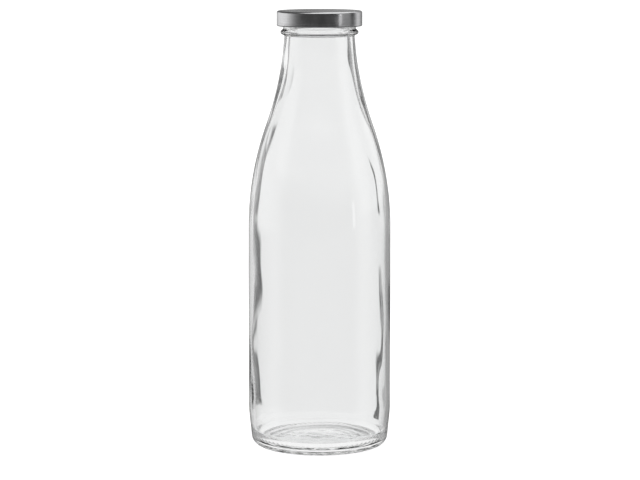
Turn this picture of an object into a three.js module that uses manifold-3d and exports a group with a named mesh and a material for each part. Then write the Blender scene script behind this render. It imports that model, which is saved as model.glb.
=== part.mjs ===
// A clear one-litre glass milk bottle with a four-lug twist-off metal cap.
// Units are millimetres, +Z is up, and the origin is the centre of the base on the surface it stands on.
// It has three separate pieces: the bottle, moulded in one piece of glass with its thread ribs and bead,
// the pressed metal cap with its rolled edge and lugs, and the ring of sealing compound inside the cap.
import * as THREE from "three";
import { mergeVertices } from "three/addons/utils/BufferGeometryUtils.js";
import Module from "manifold-3d";

const SEGMENTS = 48; // round the axis, a multiple of the four lugs
const ARC_STEP = THREE.MathUtils.degToRad(30); // largest turn between two points of a rounded corner
const CHORD = 14; // longest straight stretch along a rounded corner

// The bottle's body, shoulder and neck. Each arc rounds the corner where two straight lines would meet.
const BODY_R = 43.25;
const WALL = 2.5;
const SHOULDER_Z = 165.1;
const SHOULDER_ARC = 192;
const NECK_Z = 220.3;
const NECK_R = 23.9;
const NECK_ARC = 203;
const NECK_TOP_R = 21.1;
const NECK_TOP_Z = 249.8;
const NECK_WALL = 2.5;

// The base: a flat standing ring round a shallow push-up, and a rounded heel
const STAND_INNER_R = 31.5;
const STAND_INNER_ROUND = 1.2;
const HEEL_R = 41;
const HEEL_ROUND = 6;
const HEEL_TOP_Z = 22;
const HEEL_TOP_ARC = 60;
const PUSH_UP_R = 16;
const PUSH_UP_H = 3;
const PUSH_UP_ROUND = 90;
const FLOOR_EDGE_Z = 4.2; // height of the inside of the glass at its corner and at its middle
const FLOOR_MIDDLE_Z = 6.5;
const FLOOR_CORNER_R = 7.5;

// The finish: the mouth that takes the cap, with a bead below it and four ribs of a helical thread
const LIP_Z = 263.2;
const LIP_ROUND = 1.2;
const MOUTH_R = 18.9;
const MOUTH_ARC = 20;
const FINISH_R = 21.9;
const BEAD_R = 23.4;
const BEAD_LOW_Z = 251; // lower and upper end of the bead's widest part, before its corners are rounded
const BEAD_HIGH_Z = 252.5;
const BEAD_TOP_Z = 253.9;
const BEAD_ROUND = 1.3;
const BEAD_ROOT_ROUND = 0.4;
const LUG_COUNT = 4;
const LUG_PITCH = (2 * Math.PI) / LUG_COUNT;
const RIB_SPAN = THREE.MathUtils.degToRad(60);
const RIB_LEAD = 8.47; // rise in one whole turn
const RIB_SECTION_R = 1.2;
const RIB_OUTER_R = 23.6;
const RIB_LOW_Z = 258.5; // centre of the rib's lower end

// The ring of sealing compound, which has a small gap to the glass below it and to the cap above it
const SEAL_INNER_R = 18.4;
const SEAL_OUTER_R = 24.2;
const SEAL_H = 0.8;
const SEAL_CHAMFER = 0.2;
const SEAL_GAP = 0.15;
const SEAL_Z = LIP_Z + SEAL_GAP;

// The cap, whose top has a flat ring over the lip round a slightly raised middle
const SHEET = 0.4;
const CAP_R = 25.8;
const CAP_BOTTOM_Z = 255.5;
const CAP_RING_Z = SEAL_Z + SEAL_H + SEAL_GAP + SHEET;
const CAP_RING_INNER_R = 17.7;
const CAP_MIDDLE_Z = CAP_RING_Z + 0.6;
const CAP_MIDDLE_R = 9.6;
const CAP_STEP_ARC = 40; // rounds both edges of the slope between the ring and the middle
const CAP_CORNER_R = 1.4;
const CURL_INNER_R = 24.4;
const CURL_H = 1.4;
const CURL_ROUND = 0.6;
const LUG_INNER_R = 22.5;
const LUG_ROOT = 0.5; // how far a lug reaches into the rolled edge
const LUG_H = 1.4;
const LUG_LIFT = 0.1; // of the lug above the bottom of the rolled edge
const LUG_SPAN = THREE.MathUtils.degToRad(20);

const wasm = await Module();
wasm.setup();

// Turns corners [radius, height, arc] into outline points. An arc of that radius rounds the corner.
function roundedOutline(corners) {
  const points = [];
  corners.forEach(([r, z, arc], i) => {
    const corner = new THREE.Vector2(r, z);
    if (!arc) {
      points.push(corner);
      return;
    }
    const back = new THREE.Vector2(corners[i - 1][0], corners[i - 1][1]).sub(corner).normalize();
    const ahead = new THREE.Vector2(corners[i + 1][0], corners[i + 1][1]).sub(corner).normalize();
    const half = Math.acos(back.dot(ahead)) / 2;
    const centre = back.clone().add(ahead).normalize().multiplyScalar(arc / Math.sin(half)).add(corner);
    const spoke = back.clone().multiplyScalar(arc / Math.tan(half)).add(corner).sub(centre);
    const sweep = Math.PI - 2 * half;
    const turn = Math.sign(ahead.cross(back));
    const steps = Math.max(2, Math.ceil(sweep / ARC_STEP), Math.ceil((arc * sweep) / CHORD));
    for (let k = 0; k <= steps; k++) {
      const angle = (turn * sweep * k) / steps;
      points.push(spoke.clone().rotateAround(new THREE.Vector2(), angle).add(centre));
    }
  });
  return points;
}

// A solid of revolution about +Z. The outline runs anticlockwise, with the axis on its left side.
function revolve(outline) {
  return new THREE.LatheGeometry(outline, SEGMENTS).rotateX(Math.PI / 2);
}

// manifold-3d reads a closed mesh whose shared vertices are merged.
function toSolid(geometry) {
  geometry.deleteAttribute("normal");
  geometry.deleteAttribute("uv");
  const merged = mergeVertices(geometry);
  const mesh = new wasm.Mesh({
    numProp: 3,
    vertProperties: merged.attributes.position.array,
    triVerts: new Uint32Array(merged.index.array),
  });
  return new wasm.Manifold(mesh);
}

function toGeometry(solid) {
  const { vertProperties, triVerts } = solid.getMesh();
  const geometry = new THREE.BufferGeometry();
  geometry.setAttribute("position", new THREE.BufferAttribute(vertProperties, 3));
  geometry.setIndex(new THREE.BufferAttribute(triVerts, 1));
  geometry.computeVertexNormals();
  return geometry;
}

// The outside of the glass from the middle of the push-up to the lip, then its inside down to the floor.
function bottleOutline() {
  const base = [
    [0, PUSH_UP_H],
    [PUSH_UP_R, PUSH_UP_H, PUSH_UP_ROUND],
    [STAND_INNER_R, 0, STAND_INNER_ROUND],
    [HEEL_R, 0, HEEL_ROUND],
    [BODY_R, HEEL_TOP_Z, HEEL_TOP_ARC],
  ];
  const side = [
    [BODY_R, SHOULDER_Z, SHOULDER_ARC],
    [NECK_R, NECK_Z, NECK_ARC],
    [NECK_TOP_R, NECK_TOP_Z, BEAD_ROOT_ROUND],
    [BEAD_R, BEAD_LOW_Z, BEAD_ROUND],
    [BEAD_R, BEAD_HIGH_Z, BEAD_ROUND],
    [FINISH_R, BEAD_TOP_Z, BEAD_ROOT_ROUND],
    [FINISH_R, LIP_Z, LIP_ROUND],
  ];
  const inside = [
    [MOUTH_R, LIP_Z, LIP_ROUND],
    [NECK_TOP_R - NECK_WALL, NECK_TOP_Z, MOUTH_ARC],
    [NECK_R - NECK_WALL, NECK_Z, NECK_ARC],
    [BODY_R - WALL, SHOULDER_Z, SHOULDER_ARC],
    [BODY_R - WALL, HEEL_TOP_Z, HEEL_TOP_ARC],
    [HEEL_R - WALL, FLOOR_EDGE_Z, FLOOR_CORNER_R],
    [0, FLOOR_MIDDLE_Z],
  ];
  return roundedOutline([...base, ...side, ...inside]);
}

// The centre line of one thread rib: a right-handed helix that rises anticlockwise, seen from above.
class RibLine extends THREE.Curve {
  constructor(start) {
    super();
    this.start = start;
  }

  getPoint(t, target = new THREE.Vector3()) {
    const turned = t * RIB_SPAN;
    const r = RIB_OUTER_R - RIB_SECTION_R;
    const z = RIB_LOW_Z + (RIB_LEAD * turned) / (2 * Math.PI);
    return target.set(r * Math.cos(this.start + turned), r * Math.sin(this.start + turned), z);
  }
}

function threadRib(start) {
  const section = new THREE.Shape().absarc(0, 0, RIB_SECTION_R, 0, 2 * Math.PI);
  const extrudePath = new RibLine(start);
  return new THREE.ExtrudeGeometry(section, { steps: 8, curveSegments: 4, bevelEnabled: false, extrudePath });
}

// Each rib lies midway between two of the gaps where the cap's lugs enter.
function bottle() {
  let solid = toSolid(revolve(bottleOutline()));
  for (let i = 0; i < LUG_COUNT; i++) {
    const start = (i + 0.5) * LUG_PITCH - RIB_SPAN / 2;
    solid = solid.add(toSolid(threadRib(start)));
  }
  return toGeometry(solid);
}

// The sheet's outside from the rolled edge to the middle of the top, then its inside back down.
function capOutline() {
  const outside = [
    [CURL_INNER_R, CAP_BOTTOM_Z + CURL_H],
    [CURL_INNER_R, CAP_BOTTOM_Z, CURL_ROUND],
    [CAP_R, CAP_BOTTOM_Z, CURL_ROUND],
    [CAP_R, CAP_RING_Z, CAP_CORNER_R],
    [CAP_RING_INNER_R, CAP_RING_Z, CAP_STEP_ARC],
    [CAP_MIDDLE_R, CAP_MIDDLE_Z, CAP_STEP_ARC],
    [0, CAP_MIDDLE_Z],
  ];
  const inside = [
    [0, CAP_MIDDLE_Z - SHEET],
    [CAP_MIDDLE_R, CAP_MIDDLE_Z - SHEET, CAP_STEP_ARC],
    [CAP_RING_INNER_R, CAP_RING_Z - SHEET, CAP_STEP_ARC],
    [CAP_R - SHEET, CAP_RING_Z - SHEET, CAP_CORNER_R - SHEET],
    [CAP_R - SHEET, CAP_BOTTOM_Z + CURL_H],
    [CURL_INNER_R, CAP_BOTTOM_Z + CURL_H],
  ];
  return [...roundedOutline(outside), ...roundedOutline(inside)];
}

// A flat tab pressed inwards from the rolled edge, centred on the given angle.
function lug(middle) {
  const outer = CURL_INNER_R + LUG_ROOT;
  const from = middle - LUG_SPAN / 2;
  const to = middle + LUG_SPAN / 2;
  const tab = new THREE.Shape();
  tab.absarc(0, 0, LUG_INNER_R, from, to, false);
  tab.absarc(0, 0, outer, to, from, true);
  const geometry = new THREE.ExtrudeGeometry(tab, { depth: LUG_H, curveSegments: 3, bevelEnabled: false });
  return geometry.translate(0, 0, CAP_BOTTOM_Z + LUG_LIFT);
}

function cap() {
  let solid = toSolid(revolve(capOutline()));
  for (let i = 0; i < LUG_COUNT; i++) {
    solid = solid.add(toSolid(lug(i * LUG_PITCH)));
  }
  return toGeometry(solid);
}

function sealingRing() {
  const top = SEAL_Z + SEAL_H;
  const outline = [
    [SEAL_INNER_R, SEAL_Z + SEAL_CHAMFER],
    [SEAL_INNER_R + SEAL_CHAMFER, SEAL_Z],
    [SEAL_OUTER_R - SEAL_CHAMFER, SEAL_Z],
    [SEAL_OUTER_R, SEAL_Z + SEAL_CHAMFER],
    [SEAL_OUTER_R, top - SEAL_CHAMFER],
    [SEAL_OUTER_R - SEAL_CHAMFER, top],
    [SEAL_INNER_R + SEAL_CHAMFER, top],
    [SEAL_INNER_R, top - SEAL_CHAMFER],
    [SEAL_INNER_R, SEAL_Z + SEAL_CHAMFER],
  ];
  return revolve(roundedOutline(outline));
}

const glass = new THREE.MeshStandardMaterial({ color: 0xe9ecec, roughness: 0.03, metalness: 0 });
glass.transparent = true;
glass.opacity = 0.3;
const tinplate = new THREE.MeshStandardMaterial({ color: 0x9b9c9f, roughness: 0.3, metalness: 1 });
const compound = new THREE.MeshStandardMaterial({ color: 0xe6e5df, roughness: 0.6, metalness: 0 });

const part = new THREE.Group();

function place(name, geometry, material) {
  const mesh = new THREE.Mesh(geometry, material);
  mesh.name = name;
  part.add(mesh);
}

place("glass_bottle", bottle(), glass);
place("cap_shell", cap(), tinplate);
place("sealing_ring", sealingRing(), compound);

export default part;
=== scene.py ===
import math

import bpy
import numpy as np
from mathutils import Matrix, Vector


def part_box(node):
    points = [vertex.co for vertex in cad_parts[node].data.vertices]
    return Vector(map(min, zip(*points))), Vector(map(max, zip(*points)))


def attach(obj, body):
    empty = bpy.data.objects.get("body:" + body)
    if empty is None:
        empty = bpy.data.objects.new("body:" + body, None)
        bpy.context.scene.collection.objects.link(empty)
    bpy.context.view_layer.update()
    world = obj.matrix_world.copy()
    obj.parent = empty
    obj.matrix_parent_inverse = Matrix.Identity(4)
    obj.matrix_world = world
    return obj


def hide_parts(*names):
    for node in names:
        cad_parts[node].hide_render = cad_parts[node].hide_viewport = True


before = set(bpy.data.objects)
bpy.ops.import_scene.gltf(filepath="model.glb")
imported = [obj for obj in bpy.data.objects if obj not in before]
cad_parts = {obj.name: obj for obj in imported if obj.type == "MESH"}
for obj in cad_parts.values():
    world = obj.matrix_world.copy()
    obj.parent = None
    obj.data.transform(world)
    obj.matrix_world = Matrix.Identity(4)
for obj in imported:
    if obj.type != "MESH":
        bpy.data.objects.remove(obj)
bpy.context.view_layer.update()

# The visual model of a glass milk bottle with a twist-off cap. Lengths are millimetres until a mesh is made.
# Three pieces are built here: the glass, the cap and the sealing ring. Each is a surface of revolution whose
# points are then moved a little, for waves in the glass, thread ribs, stippling, lugs and pressed edges.

MM = 0.001
TURN = 2 * math.pi

# What the frame gives
GLASS_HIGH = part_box("glass_bottle")[1] / MM
CAP_LOW, CAP_HIGH = (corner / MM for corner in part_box("cap_shell"))
SEAL_LOW, SEAL_HIGH = (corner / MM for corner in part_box("sealing_ring"))
BODY_R = GLASS_HIGH.x
LIP_Z = GLASS_HIGH.z
CAP_R = CAP_HIGH.x
CAP_BOTTOM_Z = CAP_LOW.z
CAP_MIDDLE_Z = CAP_HIGH.z
SEAL_R = SEAL_HIGH.x
SEAL_Z = (SEAL_LOW.z + SEAL_HIGH.z) / 2

# The glass, as in the CAD model
WALL = 2.5
SHOULDER_Z = LIP_Z - 98.1
SHOULDER_ARC = 192
NECK_Z = LIP_Z - 42.9
NECK_R = 23.9
NECK_ARC = 203
NECK_TOP_Z = LIP_Z - 13.4
NECK_TOP_R = 21.1
BEAD_R = 23.4
BEAD_LOW_Z = LIP_Z - 12.2
BEAD_HIGH_Z = LIP_Z - 10.7
BEAD_TOP_Z = LIP_Z - 9.3
BEAD_ROUND = 1.3
ROOT_ROUND = 0.4
FINISH_R = 21.9
LIP_ROUND = 1.2
MOUTH_R = 18.9
MOUTH_ARC = 20
STAND_INNER_R = 31.5
STAND_INNER_ROUND = 1.2
HEEL_R = 41
HEEL_ROUND = 6
HEEL_TOP_Z = 22
HEEL_TOP_ARC = 60
PUSH_UP_R = 16
PUSH_UP_H = 3
PUSH_UP_ROUND = 90
FLOOR_EDGE_Z = 4.2
FLOOR_MIDDLE_Z = 6.5
FLOOR_CORNER_R = 7.5

# The thread ribs
RIB_COUNT = 4
RIB_SPAN = math.radians(60)
RIB_FADE = math.radians(4)
RIB_LEAD = 8.47
RIB_LOW_Z = LIP_Z - 4.7
RIB_PROUD = 1.6
RIB_HALF_H = 1.2

# Fine detail of the glass
STIPPLES = 64
STIPPLE_H = 0.3
STIPPLE_OUTER_R = 37.5
FLOOR_RIPPLE_H = 0.16
SLOW_WAVE = 0.12  # of the inside of the wall
FINE_WAVE = 0.025
OUTSIDE_WAVE = 0.05
SEAM_H = 0.06
SEAM_HALF_W = 0.35
SHRINK = 0.17  # the outside stays this far inside the CAD model's, so that its waves fit too

# The cap's sheet
SHEET = 0.3
SKIRT_INSET = 0.05
CAP_RING_Z = CAP_MIDDLE_Z - 0.6
CAP_RING_INNER_R = 17.7
CAP_MIDDLE_R = 9.6
CAP_STEP_ARC = 30
CAP_CORNER_R = 1.2
ROLL_R = 0.7
LUG_COUNT = 4
LUG_HALF_SPAN = math.radians(10)
LUG_FADE = math.radians(2)
LUG_DEPTH = 1.8

# The sealing ring
SEAL_WIDTH = 5.8
SEAL_H = 0.8
SEAL_ROUND = 0.25
SEAL_DENT = 0.12


# ------------------------------------------------------------------ outlines and surfaces of revolution


def rounded_outline(corners, gap, arc_step=math.radians(12)):
    """Points along the lines between corners (radius, height, arc), with each corner rounded by its arc.

    gap(height) is the largest distance allowed there between two points, and arc_step the largest turn.
    """
    path = []
    for i, (r, z, arc) in enumerate(corners):
        corner = np.array([r, z], float)
        if not arc:
            path.append(corner)
            continue
        back = unit(np.array(corners[i - 1][:2]) - corner)
        ahead = unit(np.array(corners[i + 1][:2]) - corner)
        half = math.acos(np.clip(back @ ahead, -1, 1)) / 2
        centre = corner + unit(back + ahead) * arc / math.sin(half)
        spoke = corner + back * arc / math.tan(half) - centre
        sweep = math.pi - 2 * half
        turn = math.copysign(1, ahead[0] * back[1] - ahead[1] * back[0])
        steps = max(2, math.ceil(sweep / arc_step), math.ceil(arc * sweep / gap(z)))
        for k in range(steps + 1):
            angle = turn * sweep * k / steps
            c, s = math.cos(angle), math.sin(angle)
            path.append(centre + np.array([c * spoke[0] - s * spoke[1], s * spoke[0] + c * spoke[1]]))
    points = [path[0]]
    for a, b in zip(path, path[1:]):
        pieces = max(1, math.ceil(np.linalg.norm(b - a) / gap((a[1] + b[1]) / 2)))
        points += [a + (b - a) * k / pieces for k in range(1, pieces + 1)]
    return np.array(points)


def unit(vector):
    return vector / np.linalg.norm(vector)


def smoothstep(low, high, value):
    t = np.clip((value - low) / (high - low), 0, 1)
    return t * t * (3 - 2 * t)


def revolve(name, rows, segments, shift, closed=False):
    """A closed mesh from rows (radius, height) turned about +Z, walked with the outside on the right.

    closed joins the last row to the first; otherwise both ends lie on the axis. shift(r, z, angle) returns
    how far each point of the grid moves outwards and upwards.
    """
    angle = np.broadcast_to(np.arange(segments) * TURN / segments, (len(rows), segments))
    r = np.repeat(rows[:, :1], segments, axis=1)
    z = np.repeat(rows[:, 1:], segments, axis=1)
    out, up = shift(r, z, angle)
    r = r + out
    grid = np.stack([r * np.cos(angle), r * np.sin(angle), z + up], axis=-1)
    rings = grid if closed else grid[1:-1]
    count = len(rings)
    points = rings.reshape(-1, 3).tolist()
    faces = []
    for i in range(count if closed else count - 1):
        low = i * segments
        high = (i + 1) % count * segments
        for j in range(segments):
            k = (j + 1) % segments
            faces.append((low + j, low + k, high + k, high + j))
    if not closed:
        points += [grid[0].mean(axis=0).tolist(), grid[-1].mean(axis=0).tolist()]
        start, end, high = len(points) - 2, len(points) - 1, (count - 1) * segments
        for j in range(segments):
            k = (j + 1) % segments
            faces.append((start, k, j))
            faces.append((end, high + j, high + k))
    mesh = bpy.data.meshes.new(name)
    mesh.from_pydata([[MM * value for value in point] for point in points], [], faces)
    mesh.validate()
    mesh.shade_smooth()
    piece = bpy.data.objects.new(name, mesh)
    bpy.context.scene.collection.objects.link(piece)
    return piece


def waves(count, seed, around, up):
    """A smooth irregular field of angle and height, mostly between -1 and 1, made of sine waves.

    around is the range of whole waves in a turn, and up the range of wavelengths along the height.
    """
    draw = np.random.RandomState(seed)
    turns = draw.randint(around[0], around[1] + 1, count)
    pitch = draw.uniform(up[0], up[1], count) * draw.choice([-1, 1], count)
    phase = draw.uniform(0, TURN, count)

    def field(angle, z):
        total = sum(np.sin(n * angle + TURN * z / p + f) for n, p, f in zip(turns, pitch, phase))
        return total / math.sqrt(count)

    return field


# ------------------------------------------------------------------ the glass

inside_slow = waves(7, 3, (2, 6), (60, 160))
inside_fine = waves(12, 11, (8, 20), (24, 70))
outside_slow = waves(6, 5, (2, 7), (50, 120))


def glass_rows():
    base = [
        (0, PUSH_UP_H, 0),
        (PUSH_UP_R, PUSH_UP_H, PUSH_UP_ROUND),
        (STAND_INNER_R, 0, STAND_INNER_ROUND),
        (HEEL_R, 0, HEEL_ROUND),
        (BODY_R, HEEL_TOP_Z, HEEL_TOP_ARC),
    ]
    side = [
        (BODY_R, SHOULDER_Z, SHOULDER_ARC),
        (NECK_R, NECK_Z, NECK_ARC),
        (NECK_TOP_R, NECK_TOP_Z, ROOT_ROUND),
        (BEAD_R, BEAD_LOW_Z, BEAD_ROUND),
        (BEAD_R, BEAD_HIGH_Z, BEAD_ROUND),
        (FINISH_R, BEAD_TOP_Z, ROOT_ROUND),
        (FINISH_R, LIP_Z, LIP_ROUND),
    ]
    inside = [
        (MOUTH_R, LIP_Z, LIP_ROUND),
        (NECK_TOP_R - WALL, NECK_TOP_Z, MOUTH_ARC),
        (NECK_R - WALL, NECK_Z, NECK_ARC),
        (BODY_R - WALL, SHOULDER_Z, SHOULDER_ARC),
        (BODY_R - WALL, HEEL_TOP_Z, HEEL_TOP_ARC),
        (HEEL_R - WALL, FLOOR_EDGE_Z, FLOOR_CORNER_R),
        (0, FLOOR_MIDDLE_Z, 0),
    ]

    def gap(z):
        if z < 9:
            return 0.8
        return 0.4 if z > NECK_TOP_Z - 1 else 2.6

    return rounded_outline(base + side + inside, gap)


def thread_ribs(r, z, angle):
    """Outward height of the four thread ribs, which climb anticlockwise and fade out at both ends."""
    pitch = TURN / RIB_COUNT
    along = np.mod(angle, pitch) - (pitch - RIB_SPAN) / 2
    middle = RIB_LOW_Z + RIB_LEAD * along / TURN
    across = np.sqrt(np.clip(1 - ((z - middle) / RIB_HALF_H) ** 2, 0, 1))
    ends = smoothstep(-RIB_FADE, RIB_FADE, along) * smoothstep(-RIB_FADE, RIB_FADE, RIB_SPAN - along)
    return RIB_PROUD * across * ends


def make_glass():
    rows = glass_rows()
    lip = np.argmax(rows[:, 1])
    is_inside = (np.arange(len(rows)) > lip + 4)[:, None]

    def shift(r, z, angle):
        body = smoothstep(14, 34, z) * smoothstep(NECK_TOP_Z - 2, NECK_TOP_Z - 16, z)
        inner = body * (SLOW_WAVE * inside_slow(angle, z) + FINE_WAVE * inside_fine(angle, z))
        outer = body * (OUTSIDE_WAVE * outside_slow(angle, z) - SHRINK)
        outer = outer + thread_ribs(r, z, angle) * (r > FINISH_R - 0.3) * (z > BEAD_TOP_Z)
        seam = np.exp(-((r * np.sin(angle) / SEAM_HALF_W) ** 2)) * (z > 2) * (z < LIP_Z - 2)
        outer = outer + SEAM_H * seam
        out = np.where(is_inside, inner, outer)
        stipple = STIPPLE_H * (0.5 + 0.5 * np.cos(STIPPLES * angle))
        ring = smoothstep(STAND_INNER_R - 0.5, STAND_INNER_R + 0.6, r) * smoothstep(STIPPLE_OUTER_R, 35.5, r)
        up_outer = stipple * ring * (z < 2)
        x, y = r * np.cos(angle), r * np.sin(angle)
        ripple = np.sin(0.42 * x + 0.9 * np.sin(0.21 * y + 1)) * np.sin(0.67 * y + 0.8 * np.sin(0.3 * x))
        up_inner = FLOOR_RIPPLE_H * ripple * smoothstep(34, 24, r) * smoothstep(14, -10, y) * (z < 8)
        return out, np.where(is_inside, up_inner, up_outer)

    piece = revolve("bottle_glass", rows, 384, shift)
    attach(piece, "bottle")
    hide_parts("glass_bottle")
    return piece


# ------------------------------------------------------------------ the cap and its seal


def make_cap():
    skirt_r = CAP_R - SKIRT_INSET
    inner_r = skirt_r - SHEET
    roll_r = CAP_R - ROLL_R
    roll_z = CAP_BOTTOM_Z + ROLL_R
    inside = [
        (0, CAP_MIDDLE_Z - SHEET, 0),
        (CAP_MIDDLE_R, CAP_MIDDLE_Z - SHEET, CAP_STEP_ARC),
        (CAP_RING_INNER_R, CAP_RING_Z - SHEET, CAP_STEP_ARC),
        (inner_r, CAP_RING_Z - SHEET, CAP_CORNER_R - SHEET),
        (inner_r, roll_z + ROLL_R + 0.3, 0),
    ]
    roll_angles = np.radians(range(105, 391, 15))
    roll = [(roll_r + ROLL_R * math.cos(a), roll_z + ROLL_R * math.sin(a), 0) for a in roll_angles]
    outside = [
        (skirt_r, roll_z + ROLL_R + 0.2, 0),
        (skirt_r, CAP_RING_Z, CAP_CORNER_R),
        (CAP_RING_INNER_R, CAP_RING_Z, CAP_STEP_ARC),
        (CAP_MIDDLE_R, CAP_MIDDLE_Z, CAP_STEP_ARC),
        (0, CAP_MIDDLE_Z, 0),
    ]
    rows = rounded_outline(inside + roll + outside, lambda z: 0.9)

    def shift(r, z, angle):
        from_lug = np.abs(np.mod(angle + TURN / LUG_COUNT / 2, TURN / LUG_COUNT) - TURN / LUG_COUNT / 2)
        lug = smoothstep(LUG_HALF_SPAN + LUG_FADE, LUG_HALF_SPAN - LUG_FADE, from_lug)
        in_roll = (z < roll_z + ROLL_R) * smoothstep(roll_r, roll_r - 0.5 * ROLL_R, r)
        out = -LUG_DEPTH * lug * in_roll
        return out, np.zeros_like(r)

    piece = revolve("cap_sheet", rows, 384, shift)
    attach(piece, "cap")
    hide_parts("cap_shell")
    return piece


def make_seal():
    low, high = SEAL_Z - SEAL_H / 2, SEAL_Z + SEAL_H / 2
    inner_r = SEAL_R - SEAL_WIDTH
    rows = rounded_outline(
        [
            (inner_r, SEAL_Z, 0),
            (inner_r, low, SEAL_ROUND),
            (SEAL_R, low, SEAL_ROUND),
            (SEAL_R, high, SEAL_ROUND),
            (inner_r, high, SEAL_ROUND),
            (inner_r, SEAL_Z + 0.1, 0),
        ],
        lambda z: 0.4,
    )
    lip_r = (FINISH_R + MOUTH_R) / 2

    def shift(r, z, angle):
        dent = SEAL_DENT * smoothstep(1.6, 0.8, np.abs(r - lip_r)) * (z < low + 0.05)
        return np.zeros_like(r), dent

    piece = revolve("seal_compound", rows, 192, shift, closed=True)
    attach(piece, "seal")
    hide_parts("sealing_ring")
    return piece


# ------------------------------------------------------------------ materials


class Graph:
    """Short calls for the nodes of one node tree. An input is a number or another node's output."""

    def __init__(self, tree):
        self.tree = tree

    def add(self, kind, **settings):
        made = self.tree.nodes.new(kind)
        for key, value in settings.items():
            setattr(made, key, value)
        return made

    def feed(self, socket, value):
        if isinstance(value, bpy.types.NodeSocket):
            self.tree.links.new(value, socket)
        else:
            socket.default_value = value

    def math(self, operation, *inputs):
        made = self.add("ShaderNodeMath", operation=operation)
        for socket, value in zip(made.inputs, inputs):
            self.feed(socket, value)
        return made.outputs[0]

    def product(self, *inputs):
        total = inputs[0]
        for value in inputs[1:]:
            total = self.math("MULTIPLY", total, value)
        return total

    def smooth(self, value, low, high, start, end):
        """Goes smoothly from start to end as value goes from low to high."""
        made = self.add("ShaderNodeMapRange", interpolation_type="SMOOTHSTEP")
        self.feed(made.inputs["Value"], value)
        for key, number in zip(("From Min", "From Max", "To Min", "To Max"), (low, high, start, end)):
            made.inputs[key].default_value = number
        return made.outputs["Result"]

    def mix(self, factor, a, b):
        made = self.add("ShaderNodeMix", data_type="FLOAT")
        for socket, value in zip((made.inputs[0], made.inputs[2], made.inputs[3]), (factor, a, b)):
            self.feed(socket, value)
        return made.outputs[0]

    def tint(self, factor, a, b):
        """A colour between a and b."""
        made = self.add("ShaderNodeMix", data_type="RGBA")
        for socket, value in zip((made.inputs[0], made.inputs[6], made.inputs[7]), (factor, a, b)):
            self.feed(socket, value)
        return made.outputs[2]

    def xyz(self, vector):
        made = self.add("ShaderNodeSeparateXYZ")
        self.feed(made.inputs[0], vector)
        return made.outputs

    def place(self, scale):
        """The place on the object in metres, times scale on each axis."""
        made = self.add("ShaderNodeMapping")
        self.feed(made.inputs["Vector"], self.add("ShaderNodeTexCoord").outputs["Object"])
        made.inputs["Scale"].default_value = scale
        return made.outputs[0]

    def noise(self, scale, detail=3.0, roughness=0.5):
        made = self.add("ShaderNodeTexNoise")
        self.feed(made.inputs["Vector"], self.place(scale))
        made.inputs["Scale"].default_value = 1
        made.inputs["Detail"].default_value = detail
        made.inputs["Roughness"].default_value = roughness
        return made.outputs["Fac"]

    def bump(self, height, depth, normal=None):
        """A bump of height (0 to 1) times depth in metres, on top of another bump's normal."""
        made = self.add("ShaderNodeBump")
        self.feed(made.inputs["Height"], height)
        made.inputs["Distance"].default_value = depth
        if normal:
            self.feed(made.inputs["Normal"], normal)
        return made.outputs[0]


def new_material(name, **values):
    """A material with plain values on its Principled shader's sockets."""
    material = bpy.data.materials.new(name)
    material.use_nodes = True
    shader = material.node_tree.nodes["Principled BSDF"]
    for key, value in values.items():
        shader.inputs[key.replace("_", " ")].default_value = value
    return material, Graph(material.node_tree), shader.inputs


def clear_glass():
    """Clear soda-lime glass with a very slight orange peel, rubbed dull where it stands.

    Painted shade: faint grey patches in the front of the floor stand for ripples the floor's shape does not
    show.
    """
    material, graph, inputs = new_material("clear_glass", Transmission_Weight=1, IOR=1.52)
    x, y, z = graph.xyz(graph.place((1 / MM, 1 / MM, 1 / MM)))
    scuffs = graph.noise((900, 900, 900), detail=4)
    dull = graph.product(graph.smooth(z, 0.1, 0.7, 1, 0), graph.smooth(scuffs, 0.4, 0.7, 0.08, 0.3))
    graph.feed(inputs["Roughness"], dull)
    cords = graph.noise((60, 60, 14), detail=1)
    colour = graph.tint(cords, (0.950, 0.954, 0.954, 1), (0.962, 0.965, 0.965, 1))
    from_axis = graph.math("SQRT", graph.math("ADD", graph.product(x, x), graph.product(y, y)))
    # Painted shade: the front half of the floor is tinted grey in patches, for the shaded table seen through
    # the glass.
    painted_shade_area = graph.product(
        graph.smooth(from_axis, 33, 36, 1, 0),
        graph.smooth(z, 7.2, 7.6, 1, 0),
        graph.smooth(z, 3.6, 4.2, 0, 1),
        graph.smooth(y, -14, 4, 1, 0),
    )
    painted_shade_patches = graph.smooth(graph.noise((110, 320, 110), detail=4, roughness=0.6), 0.42, 0.62, 0, 1)
    painted_shade = graph.product(painted_shade_area, graph.mix(painted_shade_patches, 0.5, 1.0))
    # The painted shade is mixed into the glass's colour here.
    graph.feed(inputs["Base Color"], graph.tint(painted_shade, colour, (0.55, 0.56, 0.56, 1)))
    graph.feed(inputs["Normal"], graph.bump(graph.noise((70, 70, 35), detail=1), 0.00003))
    return material


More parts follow.
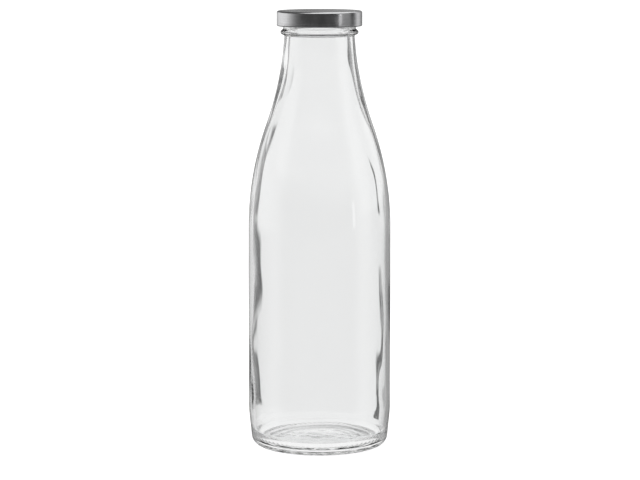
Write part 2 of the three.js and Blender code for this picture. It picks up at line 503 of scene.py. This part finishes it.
def satin_tinplate():
    """Lacquered tinplate with fine rolling lines, which run round the skirt and straight across the top."""
    material, graph, inputs = new_material("satin_tinplate", Metallic=1)
    facing = graph.xyz(graph.add("ShaderNodeNewGeometry").outputs["Normal"])[2]
    is_top = graph.smooth(facing, 0.6, 0.9, 0, 1)
    round_lines = graph.noise((40, 40, 5200), detail=5, roughness=0.6)
    straight_lines = graph.noise((60, 5200, 60), detail=5, roughness=0.6)
    lines = graph.mix(is_top, round_lines, straight_lines)
    clouds = graph.noise((170, 170, 170), detail=3)
    shade = graph.math("ADD", graph.product(lines, 0.6), graph.product(clouds, 0.4))
    colour = graph.tint(graph.smooth(shade, 0.3, 0.7, 0, 1), (0.52, 0.52, 0.53, 1), (0.70, 0.70, 0.71, 1))
    graph.feed(inputs["Base Color"], colour)
    graph.feed(inputs["Roughness"], graph.smooth(shade, 0.3, 0.7, 0.15, 0.27))
    specks = graph.noise((2600, 2600, 2600), detail=2)
    graph.feed(inputs["Normal"], graph.bump(lines, 0.000006, graph.bump(specks, 0.000003)))
    return material


def pale_compound():
    """Off-white sealing compound: soft, matte and slightly uneven."""
    material, graph, inputs = new_material("pale_compound", Roughness=0.55)
    inputs["Subsurface Weight"].default_value = 0.1
    inputs["Subsurface Radius"].default_value = (0.002, 0.0015, 0.001)
    clouds = graph.noise((260, 260, 260), detail=4)
    graph.feed(inputs["Base Color"], graph.tint(clouds, (0.76, 0.74, 0.67, 1), (0.86, 0.85, 0.80, 1)))
    graph.feed(inputs["Normal"], graph.bump(graph.noise((1500, 1500, 1500), detail=3), 0.00002))
    return material


# ------------------------------------------------------------------ light, floor and camera

# What shines on the metal and the glass from each side: degrees from the camera's side, and brightness.
# Positive degrees are to the right. The camera stands in a dark gap between light walls.
SIDE_LIGHTS = [
    (-180, 0.2), (-160, 0.6), (-140, 1.0), (-112, 1.2), (-100, 1.1), (-92, 0.85), (-78, 0.45), (-64, 0.22),
    (-50, 0.08), (0, 0.05), (46, 0.07), (52, 0.25), (64, 0.42), (90, 0.34), (95, 0.12), (102, 0.06),
    (110, 0.3), (122, 0.9), (134, 0.8), (150, 0.3), (180, 0.2),
]
STRIP_AZIMUTH = 58  # a narrow upright light beside the camera
STRIP_HALF_W = 2.2
STRIP_LEVEL = 2.2
BEHIND_LEVEL = 0.33  # what the cap's top shines with
OVERHEAD_LEVEL = 1.3
LEFT_GAP_LEVEL = 0.12  # a gap in the overhead light, which darkens the left of the cap's rim
LOW_LEVEL = 0.2  # below the horizon
ROOM_LEVEL = 1.3  # what lights matte surfaces
BACKDROP_LEVEL = 1.05  # what the camera sees past the bottle

# What shines through the glass is white, but light that has bounced inside the glass is dimmer.
LEFT_EDGE_LEVEL = 0.85
RIGHT_EDGE_LEVEL = 0.4
CAMERA_SIDE_LEVEL = 0.2

# Dark cards behind the bottle, which show bent into streaks near the edges of the glass. Each is placed for
# the camera below. In degrees: direction from straight behind, height above the horizon, half the width,
# half the height, lean for each degree of height, and soft edge. The last number is the brightness.
CARDS = [
    (-25.0, 1.5, 7.0, 5.5, 0.0, 0.5, 0.0),
    (-16.0, -6.2, 7.5, 3.1, 0.0, 0.6, 0.0),
    (-16.0, -11.5, 8.0, 1.8, 0.0, 0.6, 0.0),
    (-20.0, -9.5, 3.0, 0.8, 0.0, 0.5, 0.2),
    (22.0, 1.5, 8.5, 5.5, 0.0, 0.5, 0.05),
    (7.6, -6.1, 0.6, 0.8, -1.5, 0.2, 0.0),
    (20.5, -8.0, 3.0, 3.0, 0.0, 1.0, 0.3),
    (9.0, -10.7, 1.6, 1.8, 0.4, 0.3, 0.0),
    (8.6, -14.0, 1.5, 2.2, 0.3, 0.3, 0.0),
    (21.0, -11.2, 4.0, 1.9, 0.0, 1.0, 0.45),
]
GRAIN_LEVEL = 0.35  # brightness of the lighter grain of the cards
GRAIN_SCALE = (0.5, 0.9)  # of the grain across and up, for each degree


def studio_world():
    """A bright studio, with separate levels for reflections, light through the glass, camera and matte rays.

    It is not one real room: the levels are chosen by the kind of ray.
    """
    world = bpy.data.worlds.new("studio")
    bpy.context.scene.world = world
    world.use_nodes = True
    graph = Graph(world.node_tree)
    rays = graph.add("ShaderNodeLightPath").outputs
    x, y, z = graph.xyz(graph.add("ShaderNodeTexCoord").outputs["Generated"])
    degree = math.degrees(1)
    height = graph.product(graph.math("ARCSINE", z), degree)
    from_front = graph.product(graph.math("ARCTAN2", x, graph.product(y, -1.0)), degree)
    from_back = graph.product(graph.math("ARCTAN2", x, y), degree)

    ramp = graph.add("ShaderNodeValToRGB")
    stops = ramp.color_ramp.elements
    stops.remove(stops[-1])
    for i, (angle, level) in enumerate(SIDE_LIGHTS):
        place = (angle + 180) / 360
        stop = stops[0] if i == 0 else stops.new(place)
        stop.position = place
        stop.color = (level / 2, level / 2, level / 2, 1)
    graph.feed(ramp.inputs[0], graph.math("DIVIDE", graph.math("ADD", from_front, 180.0), 360.0))
    around = graph.product(ramp.outputs["Color"], 2.0)
    behind = graph.product(
        graph.smooth(graph.math("ABSOLUTE", from_front), 146, 156, 0, 1),
        graph.smooth(height, -1, 1, 0, 1),
    )
    shine = graph.mix(behind, around, BEHIND_LEVEL)
    shine = graph.mix(graph.smooth(height, 25, 45, 0, 1), shine, OVERHEAD_LEVEL)
    left_gap = graph.product(
        graph.smooth(from_front, -70, -45, 1, 0),
        graph.smooth(height, 8, 16, 0, 1),
        graph.smooth(height, 74, 84, 1, 0),
    )
    shine = graph.mix(left_gap, shine, LEFT_GAP_LEVEL)
    from_strip = graph.math("ABSOLUTE", graph.math("SUBTRACT", from_front, STRIP_AZIMUTH))
    strip = graph.product(
        graph.smooth(from_strip, STRIP_HALF_W - 1, STRIP_HALF_W + 1, 1, 0),
        graph.smooth(height, 2, 6, 1, 0),
        graph.smooth(height, -5.5, -4, 0, 1),
    )
    shine = graph.mix(strip, shine, STRIP_LEVEL)
    shine = graph.mix(graph.smooth(height, -9, -5, 1, 0), shine, LOW_LEVEL)

    through = 1.0
    spot = graph.add("ShaderNodeCombineXYZ")
    graph.feed(spot.inputs[0], graph.product(from_back, GRAIN_SCALE[0]))
    graph.feed(spot.inputs[1], graph.product(height, GRAIN_SCALE[1]))
    grain = graph.add("ShaderNodeTexNoise")
    graph.feed(grain.inputs["Vector"], spot.outputs[0])
    grain.inputs["Scale"].default_value = 1
    light_grain = graph.smooth(grain.outputs["Fac"], 0.54, 0.64, 0, 1)
    for azimuth, middle, half_w, half_h, lean, soft, dark in CARDS:
        above = graph.math("SUBTRACT", height, middle)
        centre = graph.math("ADD", graph.product(above, lean), azimuth)
        across = graph.math("ABSOLUTE", graph.math("SUBTRACT", from_back, centre))
        up = graph.math("ABSOLUTE", above)
        card_level = graph.mix(light_grain, dark, GRAIN_LEVEL)
        card = graph.product(
            graph.smooth(across, half_w - soft, half_w + soft, 1, 0),
            graph.smooth(up, half_h - soft, half_h + soft, 1, 0),
        )
        through = graph.mix(card, through, card_level)
    bounced = graph.math("GREATER_THAN", rays["Glossy Depth"], 0.5)
    inner_bounce = graph.product(
        bounced,
        graph.smooth(height, -22, -18, 0, 1),
        graph.smooth(height, -3, 0, 1, 0),
    )
    edge = graph.smooth(from_back, -5, 5, LEFT_EDGE_LEVEL, RIGHT_EDGE_LEVEL)
    through = graph.mix(inner_bounce, through, edge)
    camera_side = graph.product(
        bounced,
        graph.smooth(graph.math("ABSOLUTE", from_back), 95, 125, 0, 1),
        graph.smooth(height, 0, 15, 1, 0),
    )
    through = graph.mix(camera_side, through, CAMERA_SIDE_LEVEL)

    level = graph.mix(rays["Is Transmission Ray"], shine, through)
    level = graph.mix(rays["Is Camera Ray"], level, BACKDROP_LEVEL)
    lit_room = graph.product(rays["Is Diffuse Ray"], graph.math("SUBTRACT", 1.0, rays["Is Transmission Ray"]))
    level = graph.mix(lit_room, level, ROOM_LEVEL)
    background = world.node_tree.nodes["Background"]
    background.inputs["Color"].default_value = (1, 1, 1, 1)
    graph.feed(background.inputs["Strength"], level)


def make_floor():
    """A plain white floor, lit from below so that it shows no shadow. Glass and metal see past it."""
    bpy.ops.mesh.primitive_plane_add(size=40, location=(0, 0, 0))
    floor = bpy.context.object
    floor.name = "floor"
    material, graph, inputs = new_material("white_floor", Roughness=1, Specular_IOR_Level=0)
    inputs["Base Color"].default_value = (0.3, 0.3, 0.3, 1)
    inputs["Emission Color"].default_value = (1, 1, 1, 1)
    inputs["Emission Strength"].default_value = 0.9
    floor.data.materials.append(material)
    floor.visible_transmission = False
    floor.visible_glossy = False


def make_camera():
    data = bpy.data.cameras.new("camera")
    data.sensor_width = 36
    data.lens = 137.6
    camera = bpy.data.objects.new("camera", data)
    bpy.context.scene.collection.objects.link(camera)
    camera.location = (0.0003, -1.4736, 0.3282)
    camera.rotation_euler = (math.pi / 2 - 0.1366, 0, 0)
    bpy.context.scene.camera = camera


make_camera()
make_floor()
studio_world()
make_glass().data.materials.append(clear_glass())
make_cap().data.materials.append(satin_tinplate())
make_seal().data.materials.append(pale_compound())

scene = bpy.context.scene
scene.view_settings.view_transform = "Standard"
scene.cycles.max_bounces = 32
scene.cycles.transmission_bounces = 24
scene.cycles.glossy_bounces = 16
